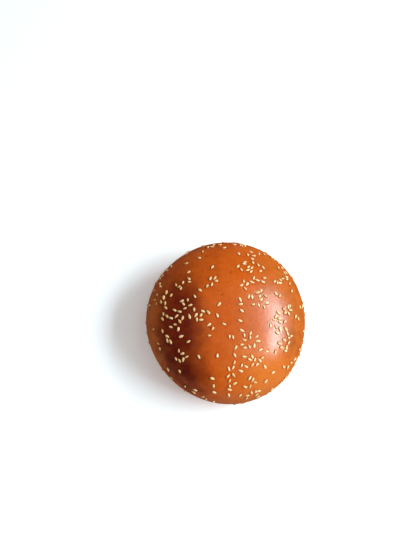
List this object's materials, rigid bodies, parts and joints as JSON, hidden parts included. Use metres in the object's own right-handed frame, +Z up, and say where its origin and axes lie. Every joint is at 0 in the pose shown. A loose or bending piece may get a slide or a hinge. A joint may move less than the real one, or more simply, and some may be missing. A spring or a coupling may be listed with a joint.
{
  "type": "burger bun",
  "caption": "Round burger bun with a glossy browned dome, a tucked-in side and a flat base, sprinkled with hulled sesame seeds; rests on its flat base.",
  "frame": {"origin": "on the flat base, in the middle of the bun's box seen from above", "axes": "+Z up out of the crown, at right angles to the flat base; +X towards the paler side of the crust, away from the darkest patch; +Y along the slightly longer way across"},
  "size_m": [0.1138, 0.1174, 0.0511],
  "materials": {
    "crust": "egg-washed baked crust: satin gloss, orange-brown, darker on one side, paler and duller towards the base",
    "sesame_seed": "smooth hulled sesame, cream to light gold, slightly waxy"
  },
  "bodies": {
    "root": {"bun": "crust", "sesame_seed_01": "sesame_seed", "sesame_seed_02": "sesame_seed", "sesame_seed_03": "sesame_seed", "sesame_seed_04": "sesame_seed", "sesame_seed_05": "sesame_seed", "sesame_seed_06": "sesame_seed", "sesame_seed_07": "sesame_seed", "sesame_seed_08": "sesame_seed", "sesame_seed_09": "sesame_seed", "sesame_seed_10": "sesame_seed", "sesame_seed_11": "sesame_seed", "sesame_seed_12": "sesame_seed", "sesame_seed_13": "sesame_seed", "sesame_seed_14": "sesame_seed", "sesame_seed_15": "sesame_seed", "sesame_seed_16": "sesame_seed", "sesame_seed_17": "sesame_seed", "sesame_seed_18": "sesame_seed", "sesame_seed_19": "sesame_seed", "sesame_seed_20": "sesame_seed", "sesame_seed_21": "sesame_seed", "sesame_seed_22": "sesame_seed", "sesame_seed_23": "sesame_seed", "sesame_seed_24": "sesame_seed", "sesame_seed_25": "sesame_seed", "sesame_seed_26": "sesame_seed", "sesame_seed_27": "sesame_seed", "sesame_seed_28": "sesame_seed", "sesame_seed_29": "sesame_seed", "sesame_seed_30": "sesame_seed", "sesame_seed_31": "sesame_seed", "sesame_seed_32": "sesame_seed", "sesame_seed_33": "sesame_seed", "sesame_seed_34": "sesame_seed", "sesame_seed_35": "sesame_seed", "sesame_seed_36": "sesame_seed", "sesame_seed_37": "sesame_seed", "sesame_seed_38": "sesame_seed", "sesame_seed_39": "sesame_seed", "sesame_seed_40": "sesame_seed", "sesame_seed_41": "sesame_seed", "sesame_seed_42": "sesame_seed", "sesame_seed_43": "sesame_seed", "sesame_seed_44": "sesame_seed", "sesame_seed_45": "sesame_seed", "sesame_seed_46": "sesame_seed", "sesame_seed_47": "sesame_seed", "sesame_seed_48": "sesame_seed", "sesame_seed_49": "sesame_seed", "sesame_seed_50": "sesame_seed", "sesame_seed_51": "sesame_seed", "sesame_seed_52": "sesame_seed", "sesame_seed_53": "sesame_seed", "sesame_seed_54": "sesame_seed", "sesame_seed_55": "sesame_seed", "sesame_seed_56": "sesame_seed", "sesame_seed_57": "sesame_seed", "sesame_seed_58": "sesame_seed", "sesame_seed_59": "sesame_seed"}
  },
  "joints": []
}
